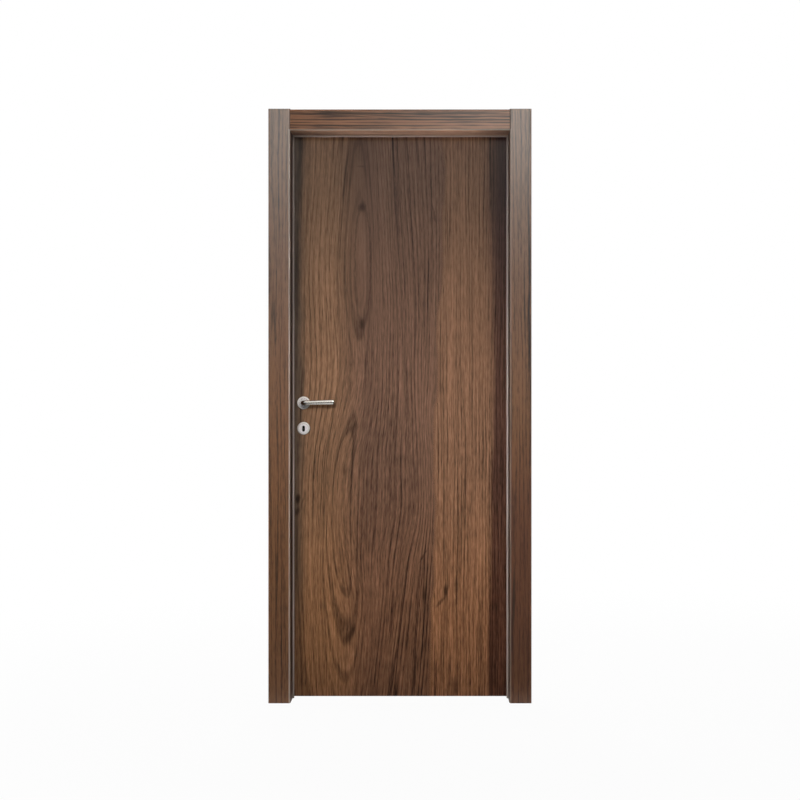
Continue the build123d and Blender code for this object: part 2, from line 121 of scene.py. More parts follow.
def make_walnut_figure():
    """Walnut grain over lengths in metres: across the rings, across the fibres and along the trunk.

    Shade multiplies the wood's colour, about a mean of 1, and Pores marks the open vessels.
    """
    takes = ("Rings", "Fibres", "Along", "Seed")
    tree, given, result = start_group("walnut_figure", takes, ("Shade", "Pores"))

    def grain(place, per_metre_across, per_metre_along, shift, detail=2.0, roughness=0.5):
        across = maths(tree, "MULTIPLY", place, per_metre_across)
        along = maths(tree, "MULTIPLY", given["Along"], per_metre_along)
        return noise(tree, across, along, maths(tree, "ADD", given["Seed"], shift), detail, roughness)

    sway = grain(given["Fibres"], 12.0, 3.0, 0.0)
    ring_place = maths(tree, "MULTIPLY_ADD", sway, GRAIN_SWAY, given["Rings"])
    fibre_place = maths(tree, "MULTIPLY_ADD", sway, GRAIN_SWAY, given["Fibres"])

    tone = grain(ring_place, 22.0, 0.8, 5.0)
    threads = grain(fibre_place, 190.0, 3.0, 23.0, 3.0, 0.65)
    dashes = grain(fibre_place, 280.0, 22.0, 53.0, 2.0, 0.6)

    drift = maths(tree, "MULTIPLY", grain(ring_place, 14.0, 0.7, 61.0), RING_DRIFT)
    turn = maths(tree, "MULTIPLY_ADD", ring_place, 2 * pi * RINGS_PER_METRE, drift)
    rings = fade(tree, maths(tree, "SINE", turn), 0.0, 1.0)
    boldness = fade(tree, grain(ring_place, 30.0, 1.2, 67.0, 1.0), 0.32, 0.64, 0.15, 1.0)
    rings = maths(tree, "MULTIPLY", rings, boldness)

    from_line = apart(tree, grain(ring_place, 34.0, 0.7, 11.0, 1.0), 0.5)
    dark_lines = fade(tree, from_line, 0.0, 0.045, 1.0, 0.0)
    breaks = fade(tree, grain(ring_place, 18.0, 1.6, 17.0, 1.0), 0.45, 0.62)
    dark_lines = maths(tree, "MULTIPLY", dark_lines, breaks)
    pores = fade(tree, grain(fibre_place, 700.0, 30.0, 31.0, 1.0), 0.60, 0.70)

    shade = PLAIN_SHADE
    for waves, strength in ((tone, TONE_STRENGTH), (threads, THREAD_STRENGTH), (dashes, DASH_STRENGTH)):
        shade = ruffle(tree, shade, waves, strength)
    for marks, strength in ((rings, RING_STRENGTH), (dark_lines, DARK_LINE_STRENGTH), (pores, PORE_STRENGTH)):
        shade = maths(tree, "MULTIPLY_ADD", marks, strength, shade)
    tree.links.new(maths(tree, "MAXIMUM", shade, DARKEST_SHADE), result["Shade"])
    tree.links.new(pores, result["Pores"])
    return tree


walnut_figure = make_walnut_figure()


def figure_at(tree, rings, fibres, along, seed):
    """Walnut grain over the lengths on a piece."""
    inputs = {"Rings": rings, "Fibres": fibres, "Along": along, "Seed": seed}
    return add_node(tree, "ShaderNodeGroup", inputs, node_tree=walnut_figure).outputs


def start_material(name):
    """A new material, with its shader and the place on the piece along each axis."""
    material = bpy.data.materials.new(name)
    material.use_nodes = True
    tree = material.node_tree
    place = add_node(tree, "ShaderNodeTexCoord").outputs["Object"]
    axes = add_node(tree, "ShaderNodeSeparateXYZ", {0: place}).outputs
    return material, tree, tree.nodes["Principled BSDF"], axes


def set_values(shader, values):
    """Sets a shader's plain values by name."""
    for name, value in values.items():
        shader.inputs[name].default_value = value


def press(tree, shader, marks, strength, depth, sunk=True):
    """Presses marks into the surface, or raises them on it."""
    inputs = {"Height": marks, "Strength": strength, "Distance": depth}
    pressed = add_node(tree, "ShaderNodeBump", inputs, invert=sunk)
    tree.links.new(pressed.outputs[0], shader.inputs["Normal"])


GRAIN_STRETCH = 0.83


def comb(tree, shader, axis):
    """Stretches the shine, as fine grain along an axis of the door does."""
    combed = add_node(tree, "ShaderNodeTangent", direction_type="RADIAL", axis=axis)
    tree.links.new(combed.outputs[0], shader.inputs["Tangent"])
    set_values(shader, {"Anisotropic": GRAIN_STRETCH})


def dress(names, material):
    """Gives the faces of CAD pieces their finish."""
    for name in names:
        for slot in nodes[name].material_slots:
            slot.material = material


# Painted shade and light: the upright jambs' film is darker than the casings' for the shade in the narrow
# reveals, and the head jamb's is paler and greyer for the light thrown up onto its underside.
SHADED_JAMB_FILM = srgb(78, 53, 38)
LIT_HEAD_JAMB_FILM = srgb(124, 95, 78)
PALEST_PRINT = 1.2
# The strength and depth of pressed pores, and the shades between which roughness changes.
PORE_PRESS = (0.2, 0.0002)
SHADE_RANGE = (0.4, 1.4)
FILM_ROUGHNESS = (0.48, 0.44)


def make_film(
    name, across_axis, along_axis, seed, contrast, colour, change=None, shine=0.5, scales=(1, 1, 1)
):
    """Walnut print film with its grain along one axis of the door.

    The seed picks a stretch of the print, and contrast, colour and shine are the print's own. A change takes
    the shader's tree, its place along each axis and its tone, and gives back another tone. The scales crowd
    the rings, the fibres and the marks along them.
    """
    material, tree, shader, axes = start_material(name)
    across = maths(tree, "ADD", axes[across_axis], axes["Y"])
    lengths = (across, across, axes[along_axis])
    places = [maths(tree, "MULTIPLY", length, scale) for length, scale in zip(lengths, scales)]
    figure = figure_at(tree, *places, seed)
    printed = maths(tree, "POWER", maths(tree, "MINIMUM", figure["Shade"], PALEST_PRINT), contrast)
    tone = mixed(tree, 1.0, colour, printed, "MULTIPLY")
    if change:
        tone = change(tree, axes, tone)
    tree.links.new(tone, shader.inputs["Base Color"])
    tree.links.new(fade(tree, figure["Shade"], *SHADE_RANGE, *FILM_ROUGHNESS), shader.inputs["Roughness"])
    press(tree, shader, figure["Pores"], *PORE_PRESS)
    comb(tree, shader, along_axis)
    set_values(shader, {"Specular IOR Level": shine})
    return material


shaded_upright_film = make_film("walnut_film_jamb_shaded", "X", "Z", seed=3.0, contrast=1.4, colour=SHADED_JAMB_FILM, shine=0.2)
dress(["hinge_jamb", "lock_jamb"], shaded_upright_film)
lit_head_jamb_film = make_film(
    "walnut_film_head_jamb_lit", "Z", "X", seed=41.0, contrast=2.2, colour=LIT_HEAD_JAMB_FILM
)
dress(["head_jamb"], lit_head_jamb_film)


# Casings
# Flat boards in the same film with rounded show edges, held to the jambs by tongues. The uprights run full
# height and the head butts between them, so its grain lies level. Along the edge round the doorway a pale
# line is painted on the film as a highlight on its rounding, brightest on the left board.

DOORWAY_MIDDLE = -0.447
DOORWAY_HALF_WIDTH = 0.402
DOORWAY_HEIGHT = 2.100
CASING_ROUNDING = 0.0045
PAINTED_EDGE_HIGHLIGHT = srgb(180, 164, 148)
UPRIGHT_FILM = srgb(107, 71, 44)
HEAD_FILM = srgb(126, 82, 53)
# On each side of the wall: how far the show face is from mid wall, and how far the casings' edge stands back
# from the doorway.
CASING_SIDES = (("front", 0.0645, 0.001), ("back", 0.0625, 0.036))
# How strong the painted highlight is along the doorway edge of each board.
LEFT_HIGHLIGHT_STRENGTH = 0.9
RIGHT_HIGHLIGHT_STRENGTH = 0.35
HEAD_HIGHLIGHT_STRENGTH = 0.6
# The redder length of the right board and a streak in it: middle across and up, half width and height, lean,
# strength and colour.
CASING_MARKS = (
    (-0.005, 0.450, 0.400, 0.750, 0.0, 0.45, srgb(72, 38, 34)),
    (-0.030, 0.377, 0.0085, 0.160, 0.015, 0.75, srgb(34, 28, 25)),
)
MARK_INPUTS = ("X", "Z", "Middle X", "Middle Z", "Half Width", "Half Height", "Lean")
MARK_CORE = 0.2
MARK_RIM = 0.14


def slant(tree, aside, up):
    """The straight distance over two lengths at right angles."""
    return maths(tree, "SQRT", maths(tree, "MULTIPLY_ADD", aside, aside, maths(tree, "MULTIPLY", up, up)))


def make_wood_mark():
    """An oval mark that leans with the grain: Fill is 1 in its middle, and Rim is 1 along its outline."""
    tree, given, result = start_group("wood_mark", MARK_INPUTS, ("Fill", "Rim"))
    up = maths(tree, "SUBTRACT", given["Z"], given["Middle Z"])
    aside = maths(tree, "SUBTRACT", given["X"], given["Middle X"])
    aside = maths(tree, "SUBTRACT", aside, maths(tree, "MULTIPLY", up, given["Lean"]))
    aside = maths(tree, "DIVIDE", aside, given["Half Width"])
    up = maths(tree, "DIVIDE", up, given["Half Height"])
    far = slant(tree, aside, up)
    tree.links.new(fade(tree, far, MARK_CORE, 1.0, 1.0, 0.0), result["Fill"])
    tree.links.new(fade(tree, apart(tree, far, 1.0), 0.0, MARK_RIM, 1.0, 0.0), result["Rim"])
    return tree


wood_mark = make_wood_mark()


def mark_at(tree, x, z, *place):
    """One wood mark over the lengths on a piece, by its middle, half width and height, and lean."""
    inputs = dict(zip(MARK_INPUTS, (x, z, *place)))
    return add_node(tree, "ShaderNodeGroup", inputs, node_tree=wood_mark).outputs


def mark_and_highlight_casing(face, inner, highlight_strength, marks=()):
    """Paints a pale highlight on the film's rounded edge round the doorway, and draws dark marks in it.

    Face is how far the show face is from mid wall, and inner how far the edge stands back from the doorway.
    """
    def change(tree, axes, tone):
        for *place, strength, colour in marks:
            fill = mark_at(tree, axes["X"], axes["Z"], *place)["Fill"]
            tone = mixed(tree, maths(tree, "MULTIPLY", fill, strength), tone, colour)
        # Painted highlight: a pale line on the show face along the rounded edge round the doorway.
        aside = apart(tree, axes["X"], DOORWAY_MIDDLE)
        aside = maths(tree, "SUBTRACT", aside, DOORWAY_HALF_WIDTH + inner)
        above = maths(tree, "SUBTRACT", axes["Z"], DOORWAY_HEIGHT + inner)
        from_edge = maths(tree, "MAXIMUM", aside, above)
        depth = maths(tree, "SUBTRACT", face, maths(tree, "ABSOLUTE", axes["Y"]))
        by_edge = fade(tree, from_edge, 0.8 * CASING_ROUNDING, 1.5 * CASING_ROUNDING, highlight_strength, 0.0)
        by_face = fade(tree, depth, 0.5 * CASING_ROUNDING, CASING_ROUNDING, 1.0, 0.0)
        return mixed(tree, maths(tree, "MULTIPLY", by_edge, by_face), tone, PAINTED_EDGE_HIGHLIGHT)
    return change


for side, face, inner in CASING_SIDES:
    left_film = make_film(
        f"walnut_film_{side}_left",
        "X",
        "Z",
        seed=3.0,
        contrast=1.5,
        colour=UPRIGHT_FILM,
        change=mark_and_highlight_casing(face, inner, LEFT_HIGHLIGHT_STRENGTH),
    )
    right_film = make_film(
        f"walnut_film_{side}_right",
        "X",
        "Z",
        seed=9.0,
        contrast=1.7,
        colour=UPRIGHT_FILM,
        change=mark_and_highlight_casing(face, inner, RIGHT_HIGHLIGHT_STRENGTH, CASING_MARKS if side == "front" else ()),
    )
    head_film = make_film(
        f"walnut_film_{side}_head",
        "Z",
        "X",
        seed=41.0,
        contrast=3.9,
        colour=HEAD_FILM,
        change=mark_and_highlight_casing(face, inner, HEAD_HIGHLIGHT_STRENGTH),
        shine=0.32,
        scales=(1.4, 0.8, 0.3),
    )
    for piece, film in (("left", left_film), ("right", right_film), ("head", head_film)):
        dress([f"{side}_casing_{piece}"], film)


# Seal
# A soft grey-beige strip pushed into a kerf in the stop and mitred at the top corners.

SEAL_DARK = srgb(166, 151, 142)
SEAL_PALE = srgb(188, 173, 164)
SEAL_MOTTLE = (400.0, 400.0, 400.0)


def speckle(tree, axes, per_metre, detail=2.0, roughness=0.5):
    """Noise over a piece, with its marks per metre along X, Y and Z."""
    place = [maths(tree, "MULTIPLY", axes[axis], count) for axis, count in zip("XYZ", per_metre)]
    return noise(tree, *place, detail, roughness)


def make_seal_material():
    """Soft rubber with a faint mottle."""
    material, tree, shader, axes = start_material("seal_rubber")
    mottle = speckle(tree, axes, SEAL_MOTTLE)
    tree.links.new(mixed(tree, mottle, SEAL_DARK, SEAL_PALE), shader.inputs["Base Color"])
    set_values(shader, {"Roughness": 0.7, "Specular IOR Level": 0.2})
    return material


dress(["seal_left", "seal_right", "seal_head"], make_seal_material())


# Leaf
# Two walnut veneered skins glued to a surround of stiles and rails. The veneer is flat sawn: an eye and open
# arches left of the middle, a paler straight-grained plank right of it, and dark heartwood along both edges.
# The dark band along the left edge is partly a painted shadow, cast by the lock jamb.

LEAF_LEFT = -0.870
LEAF_WIDTH = 0.845
LEAF_TOP = 2.12
# The figure lies between lines that run up the leaf, each given by its place across at these heights: a dark
# line to either side of the heart of the arches, then the edges of the plank and of the right heartwood.
FIGURE_HEIGHTS = (0.0, 0.21, 0.36, 0.51, 0.69, 0.89, 1.04, 1.19, 1.39, 1.63, 1.86, 2.12)
LEFT_LINE = (
    -0.722, -0.726, -0.733, -0.737, -0.730, -0.722, -0.700, -0.677, -0.674, -0.681, -0.670, -0.662,
)
HEART = (
    -0.632, -0.632, -0.636, -0.655, -0.670, -0.655, -0.617, -0.591, -0.591, -0.595, -0.591, -0.591,
)
RIGHT_LINE = (
    -0.475, -0.453, -0.438, -0.419, -0.385, -0.385, -0.389, -0.393, -0.393, -0.404, -0.419, -0.430,
)
PLANK_EDGE = (
    -0.338, -0.333, -0.329, -0.322, -0.318, -0.318, -0.322, -0.310, -0.303, -0.292, -0.288, -0.288,
)
HEARTWOOD_EDGE = (
    -0.121, -0.117, -0.114, -0.110, -0.107, -0.105, -0.102, -0.101, -0.105, -0.111, -0.112, -0.110,
)
# How deep the heart lies under the face at the same heights, which opens and closes the arches.
HEART_DEPTH = (0.080, 0.054, 0.036, 0.024, 0.018, 0.026, 0.040, 0.046, 0.034, 0.015, 0.036, 0.060)
DEEPEST_HEART = 0.1
# How much growth lies between one line and the next, from the left edge on.
LINE_SPREADS = (0.190, 0.085, 0.190, 0.100)
RING_SKEW = 0.25
PLANK_CROWDING = 1.35
VENEER_SEED = 8.0

# How far the edges of plank and heartwood wander, and how wide they pass into the wood beside them. The right
# heartwood's edge is softer above than below.
EDGE_WANDER = 0.05
PLANK_BLEND = 0.006
HEARTWOOD_WANDER = 0.02
HEARTWOOD_BLEND = (0.011, 0.042)
# Places across and heights between which one finish passes into another.
LEFT_TO_MIDDLE = (-0.72, -0.56)
LEFT_DARK_BAND_EDGE = (-0.840, -0.790)
LEFT_DARK_BAND_FOOT = (0.15, 0.55)
HEARTWOOD_SOFTENS = (1.0, 1.6)
HEARTWOOD_DARKENS = (1.2, 2.0)
PLANK_FOOT = (0.2, 0.7)
FOOT_SHADE_HEIGHTS = (0.2, 1.0)
BOLD_GRAIN_FOOT = (0.3, 1.7)
QUIET_EYE_FOOT = (1.25, 1.45)

# Knots, smudges and single dark lines: middle across and up, half width and height, lean and strength.
WOOD_MARKS = (
    (-0.279, 0.401, 0.012, 0.038, 0.1, 0.70),
    (-0.299, 0.357, 0.012, 0.028, 0.8, 0.55),
    (-0.239, 0.395, 0.007, 0.110, 0.0, 0.50),
    (-0.243, 0.045, 0.018, 0.060, 0.1, 0.55),
    (-0.830, 0.742, 0.011, 0.028, 0.0, 0.75),
    (-0.834, 0.695, 0.014, 0.022, 0.2, 0.50),
    (-0.811, 0.738, 0.005, 0.050, 0.2, 0.40),
    (-0.333, 1.915, 0.007, 0.060, -0.1, 0.40),
    (-0.320, 1.800, 0.006, 0.070, -0.2, 0.40),
    (-0.362, 0.530, 0.006, 0.040, 0.6, 0.50),
    (-0.372, 0.160, 0.010, 0.090, 0.3, 0.45),
    (-0.397, 0.040, 0.012, 0.070, 0.1, 0.45),
    (-0.633, 0.240, 0.020, 0.050, 0.5, 0.40),
    (-0.590, 1.830, 0.018, 0.022, 0.0, 0.35),
    (-0.592, 1.400, 0.010, 0.030, 0.0, 0.35),
    (-0.594, 1.985, 0.022, 0.006, 0.0, 0.25),
    (-0.832, 1.575, 0.016, 0.220, 0.0, 0.40),
    (-0.580, 0.800, 0.320, 0.460, 0.0, 0.24),
)
MARK_RAGGEDNESS = 0.016
# The eye: middle across and up, half width and height, and lean.
EYE = (-0.588, 1.615, 0.030, 0.225, 0.0)
EYE_RIM_DARKNESS = 0.30
EYE_PALENESS = 0.24
DARK_LINE_WIDTH = 0.004
DARK_LINE_SHADE = 0.72

VENEER_LEFT = srgb(123, 91, 67)
VENEER_MIDDLE = srgb(105, 77, 61)
VENEER_PLANK = srgb(121, 88, 66)
VENEER_PLANK_FOOT = srgb(134, 97, 73)
FOOT_PAINTED_SHADE = (1.0, 0.89, 0.76, 1.0)
LEFT_HEARTWOOD_AND_SHADOW = srgb(78, 63, 51)
HEARTWOOD_RIGHT = srgb(79, 53, 42)
HEARTWOOD_TOP = srgb(57, 37, 33)
VENEER_ROUGHNESS = (0.52, 0.48)


def along_height(tree, height, values, low, span):
    """A value that follows a smooth curve up the leaf."""
    made = add_node(tree, "ShaderNodeFloatCurve", {"Value": height})
    points = made.mapping.curves[0].points
    stations = [(at / LEAF_TOP, (value - low) / span) for at, value in zip(FIGURE_HEIGHTS, values)]
    points[0].location = stations[0]
    points[1].location = stations[-1]
    for station in stations[1:-1]:
        points.new(*station)
    made.mapping.update()
    return maths(tree, "MULTIPLY_ADD", made.outputs[0], span, low)


def darken(tree, shade, mask, darkness):
    """A shade taken darker where a mask is 1, or paler where the darkness is negative."""
    return maths(tree, "MULTIPLY", shade, maths(tree, "MULTIPLY_ADD", mask, -darkness, 1.0))


def make_veneer():
    """The leaf's veneer, with its figure drawn round the heart and its plank laid beside it."""
    material, tree, shader, axes = start_material("walnut_veneer")
    x, z = axes["X"], axes["Z"]
    height = maths(tree, "DIVIDE", z, LEAF_TOP)

    def line_across(values):
        return along_height(tree, height, values, LEAF_LEFT, LEAF_WIDTH)

    def blended(share, first, second):
        return add_node(tree, "ShaderNodeMix", {0: share, 2: first, 3: second}).outputs[0]

    lines = [line_across(values) for values in (LEFT_LINE, HEART, RIGHT_LINE, PLANK_EDGE)]
    from_heart = -(LINE_SPREADS[0] + LINE_SPREADS[1])
    start = LEAF_LEFT
    for line, spread in zip(lines, LINE_SPREADS):
        inputs = {0: x, 1: start, 2: line, 3: 0.0, 4: spread}
        step = add_node(tree, "ShaderNodeMapRange", inputs).outputs[0]
        from_heart = maths(tree, "ADD", step, from_heart)
        start = line
    depth = along_height(tree, height, HEART_DEPTH, 0.0, DEEPEST_HEART)
    ring = maths(tree, "MULTIPLY_ADD", from_heart, RING_SKEW, slant(tree, from_heart, depth))

    wobble = noise(tree, maths(tree, "MULTIPLY", x, 3.0), maths(tree, "MULTIPLY", z, 4.0), 2.0, 3.0)
    edge_x = ruffle(tree, x, wobble, EDGE_WANDER)
    plank = fade(tree, maths(tree, "SUBTRACT", edge_x, lines[3]), -PLANK_BLEND, PLANK_BLEND)
    past_edge = maths(tree, "SUBTRACT", x, line_across(HEARTWOOD_EDGE))
    past_edge = ruffle(tree, past_edge, wobble, HEARTWOOD_WANDER)
    blend_width = fade(tree, z, *HEARTWOOD_SOFTENS, *HEARTWOOD_BLEND)
    heart_right = fade(tree, maths(tree, "DIVIDE", past_edge, blend_width), -1.0, 1.0)
    # The dark band along the left edge: heartwood with a painted shadow of the lock jamb, fainter towards the
    # foot.
    left_heartwood_and_shadow = fade(tree, edge_x, *LEFT_DARK_BAND_EDGE, 1.0, 0.0)
    left_heartwood_and_shadow = maths(tree, "MULTIPLY", left_heartwood_and_shadow, fade(tree, z, *LEFT_DARK_BAND_FOOT, 0.45, 1.0))

    tone = mixed(tree, fade(tree, x, *LEFT_TO_MIDDLE), VENEER_LEFT, VENEER_MIDDLE)
    plank_tone = mixed(tree, fade(tree, z, *PLANK_FOOT), VENEER_PLANK_FOOT, VENEER_PLANK)
    tone = mixed(tree, plank, tone, plank_tone)
    heartwood = mixed(tree, fade(tree, z, *HEARTWOOD_DARKENS), HEARTWOOD_RIGHT, HEARTWOOD_TOP)
    tone = mixed(tree, heart_right, tone, heartwood)
    tone = mixed(tree, left_heartwood_and_shadow, tone, LEFT_HEARTWOOD_AND_SHADOW)
    # Painted shade: the veneer is taken darker and warmer towards the foot, where less light and sheen fall.
    tone = mixed(tree, fade(tree, z, *FOOT_SHADE_HEIGHTS, 1.0, 0.0), tone, FOOT_PAINTED_SHADE, "MULTIPLY")

    rings = blended(plank, ring, maths(tree, "MULTIPLY", x, PLANK_CROWDING))
    fibres = blended(plank, from_heart, x)
    figure = figure_at(tree, rings, fibres, z, VENEER_SEED)
    quiet = fade(tree, maths(tree, "ABSOLUTE", from_heart), 0.02, 0.10, 0.55, 0.0)
    quiet = maths(tree, "MULTIPLY", quiet, fade(tree, z, *QUIET_EYE_FOOT))
    quiet = maths(tree, "MAXIMUM", quiet, maths(tree, "MULTIPLY", left_heartwood_and_shadow, 0.4))
    shade = blended(quiet, figure["Shade"], 1.0)
    shade = maths(tree, "POWER", shade, fade(tree, z, *BOLD_GRAIN_FOOT, 1.58, 1.0))

    ragged = noise(tree, maths(tree, "MULTIPLY", x, 120.0), maths(tree, "MULTIPLY", z, 30.0), 4.0)
    ragged_x = ruffle(tree, x, ragged, MARK_RAGGEDNESS)
    for *place, darkness in WOOD_MARKS:
        shade = darken(tree, shade, mark_at(tree, ragged_x, z, *place)["Fill"], darkness)
    eye = mark_at(tree, ragged_x, z, *EYE)
    shade = darken(tree, shade, eye["Rim"], EYE_RIM_DARKNESS)
    shade = darken(tree, shade, eye["Fill"], -EYE_PALENESS)
    for line in (lines[0], lines[2]):
        drawn = fade(tree, apart(tree, x, line), 0.0, DARK_LINE_WIDTH, DARK_LINE_SHADE, 1.0)
        shade = maths(tree, "MULTIPLY", shade, drawn)
    tree.links.new(mixed(tree, 1.0, tone, shade, "MULTIPLY"), shader.inputs["Base Color"])
    tree.links.new(fade(tree, shade, *SHADE_RANGE, *VENEER_ROUGHNESS), shader.inputs["Roughness"])
    press(tree, shader, figure["Pores"], *PORE_PRESS)
    comb(tree, shader, "Z")
    set_values(shader, {"Specular IOR Level": 0.08})
    return material


dress(["leaf_front_skin", "leaf_back_skin"], make_veneer())
# The leaf's stiles and top rail take the jambs' film with its painted shade.
dress(["leaf_lock_stile", "leaf_hinge_stile"], shaded_upright_film)
top_rail_film = make_film("walnut_film_top_rail", "Z", "X", seed=41.0, contrast=2.2, colour=SHADED_JAMB_FILM)
dress(["leaf_top_rail"], top_rail_film)

PINE_DARK = srgb(168, 124, 78)
PINE_PALE = srgb(206, 172, 124)
PINE_RANGE = (0.5, 1.4)
PINE_ROUGHNESS = (0.75, 0.62)


def make_softwood():
    """Bare planed pine, which shows only under the leaf."""
    material, tree, shader, axes = start_material("bare_softwood")
    across = maths(tree, "ADD", axes["Z"], axes["Y"])
    figure = figure_at(tree, across, across, axes["X"], seed=77.0)
    grain = fade(tree, figure["Shade"], *PINE_RANGE)
    tree.links.new(mixed(tree, grain, PINE_DARK, PINE_PALE), shader.inputs["Base Color"])
    tree.links.new(fade(tree, figure["Shade"], *PINE_RANGE, *PINE_ROUGHNESS), shader.inputs["Roughness"])
    press(tree, shader, figure["Pores"], *PORE_PRESS)
    set_values(shader, {"Specular IOR Level": 0.2})
    return material


dress(["leaf_bottom_rail"], make_softwood())


# Metal furniture
# Levers, roses and hinges are cast and turned, then brushed and nickel plated to a satin shine. The lock's
# plates, bolts and spindle are plated steel.

BRUSH_MARKS = (300.0, 3000.0, 3000.0)
BRUSH_DULLING = 0.88
BRUSH_UNEVENNESS = 0.04
BRUSH_PRESS = (0.08, 0.0001)


def make_metal(name, colour, roughness):
    """Brushed metal, with fine marks along the length of a lever that change its tone, shine and surface."""
    material, tree, shader, axes = start_material(name)
    brushed = speckle(tree, axes, BRUSH_MARKS)
    dulled = (*(level * BRUSH_DULLING for level in colour[:3]), 1.0)
    tree.links.new(mixed(tree, fade(tree, brushed, 0.3, 0.7), dulled, colour), shader.inputs["Base Color"])
    uneven = fade(tree, brushed, 0.0, 1.0, roughness + BRUSH_UNEVENNESS, roughness - BRUSH_UNEVENNESS)
    tree.links.new(uneven, shader.inputs["Roughness"])
    press(tree, shader, brushed, *BRUSH_PRESS, sunk=False)
    set_values(shader, {"Metallic": 1.0})
    return material


nickel = make_metal("satin_nickel", srgb(210, 207, 200), 0.20)

SPINDLE_X = -0.808
SPINDLE_HEIGHT = 1.102
KEY_HEIGHT = 1.007
KEYHOLE_EYE = 1.0120
KEYHOLE_FOOT = 0.9995
# Distances from the middle of a rose or a keyhole between which its finish changes.
DISH_EDGE = (0.0172, 0.0186)
SEAM_RADIUS = 0.0180
SEAM_WIDTH = 0.0012
ROSE_EDGE = (0.0220, 0.0240)
KEYHOLE_SHADE_EDGE = (0.0046, 0.0056)
BETWEEN_ROSES = (1.050, 1.060)
RUB_MARKS = (260.0, 260.0, 260.0)

# Painted highlight and shade for the roses' reflections, and painted shade round the keyhole.
DISH_BRIGHT = srgb(208, 206, 208)
KEY_DISH_PAINTED_SHADE = srgb(184, 182, 186)
LEVER_DISH_PAINTED_SHADE = srgb(122, 120, 118)
ROSE_RIM_HIGHLIGHT = srgb(196, 193, 190)
ROSE_SEAM_SHADE = srgb(70, 68, 66)
ROSE_EDGE_PAINTED_SHADE = srgb(84, 78, 72)
KEYHOLE_PAINTED_SHADE = srgb(6, 6, 6)


def make_rose_metal():
    """Satin nickel, mottled in the dish of each rose, with painted light and shade for its reflections.

    The rim is painted bright and the dish darker, darkest on the lever's rose, with a dark painted seam round
    the dish and a dark painted outer edge. A black painted shade round the keyhole widens the dark of the
    hole.
    """
    material, tree, shader, axes = start_material("rose_nickel")
    aside = maths(tree, "SUBTRACT", axes["X"], SPINDLE_X)
    reach = [
        slant(tree, aside, maths(tree, "SUBTRACT", axes["Z"], height))
        for height in (SPINDLE_HEIGHT, KEY_HEIGHT)
    ]
    from_middle = maths(tree, "MINIMUM", *reach)
    rubs = speckle(tree, axes, RUB_MARKS, 3.0, 0.6)
    dish_painted_shade = mixed(tree, fade(tree, axes["Z"], *BETWEEN_ROSES), KEY_DISH_PAINTED_SHADE, LEVER_DISH_PAINTED_SHADE)
    dish = mixed(tree, fade(tree, rubs, 0.32, 0.68), dish_painted_shade, DISH_BRIGHT)
    # Painted reflections: a bright rim, a darker dish, a dark seam at the dish's edge and a dark outer edge.
    tone = mixed(tree, fade(tree, from_middle, *DISH_EDGE), dish, ROSE_RIM_HIGHLIGHT)
    seam = fade(tree, apart(tree, from_middle, SEAM_RADIUS), 0.0, SEAM_WIDTH, 0.5, 0.0)
    tone = mixed(tree, seam, tone, ROSE_SEAM_SHADE)
    tone = mixed(tree, fade(tree, from_middle, *ROSE_EDGE, 0.0, 0.7), tone, ROSE_EDGE_PAINTED_SHADE)
    # Painted shade: black round the keyhole, wider than the hole itself.
    along_slot = maths(tree, "MAXIMUM", maths(tree, "MINIMUM", axes["Z"], KEYHOLE_EYE), KEYHOLE_FOOT)
    from_slot = slant(tree, aside, maths(tree, "SUBTRACT", axes["Z"], along_slot))
    keyhole_painted_shade = fade(tree, from_slot, *KEYHOLE_SHADE_EDGE, 1.0, 0.0)
    tree.links.new(mixed(tree, keyhole_painted_shade, tone, KEYHOLE_PAINTED_SHADE), shader.inputs["Base Color"])
    tree.links.new(fade(tree, keyhole_painted_shade, 0.0, 1.0, 0.7, 1.0), shader.inputs["Metallic"])
    tree.links.new(fade(tree, rubs, 0.3, 0.7, 0.52, 0.40), shader.inputs["Roughness"])
    return material


rose_nickel = make_rose_metal()
steel = make_metal("plated_steel", srgb(176, 172, 164), 0.32)
dress([f"{side}_{piece}" for side in ("front", "back") for piece in ("rose", "key_rose")], rose_nickel)
dress(["front_lever", "back_lever"], nickel)
dress([f"{half}_hinge_{place}" for half in ("frame", "leaf") for place in ("top", "middle", "bottom")], nickel)
dress(["strike_plate", "lock_faceplate", "latch_bolt", "dead_bolt", "spindle"], steel)


# Lock levers
# Five thin steel plates, which the key lifts, stacked in the pressed steel lock case. Behind the keyhole they
# and the case are all that shows of the works, painted near black for the shade inside the keyhole.

LEVER_PLATES = 5
PLATE_SIZE = (0.034, 0.0016, 0.030)
PLATE_SOFTENING = 0.0002
PLATE_PITCH = 0.0019
PLATE_STAGGER = 0.001
LOCK_DEPTH = 0.052


def add_piece(name, mesh, material, body):
    """A finished piece from a bmesh, with its finish, riding on a body of the door."""
    data = bpy.data.meshes.new(name)
    mesh.to_mesh(data)
    mesh.free()
    piece = bpy.data.objects.new(name, data)
    bpy.context.scene.collection.objects.link(piece)
    data.materials.append(material)
    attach(piece, body)


def add_plate(mesh, middle, size, softening):
    """A plate in a bmesh with softened edges."""
    made = bmesh.ops.create_cube(mesh, size=1.0)["verts"]
    shape = Matrix.Translation(middle) @ Matrix.Diagonal((*size, 1))
    bmesh.ops.transform(mesh, matrix=shape, verts=made)
    edges = {edge for vert in made for edge in vert.link_edges}
    bmesh.ops.bevel(
        mesh,
        geom=list(edges),
        offset=softening,
        affect="EDGES",
        segments=2,
        profile=0.5,
        material=-1,
        clamp_overlap=True,
    )


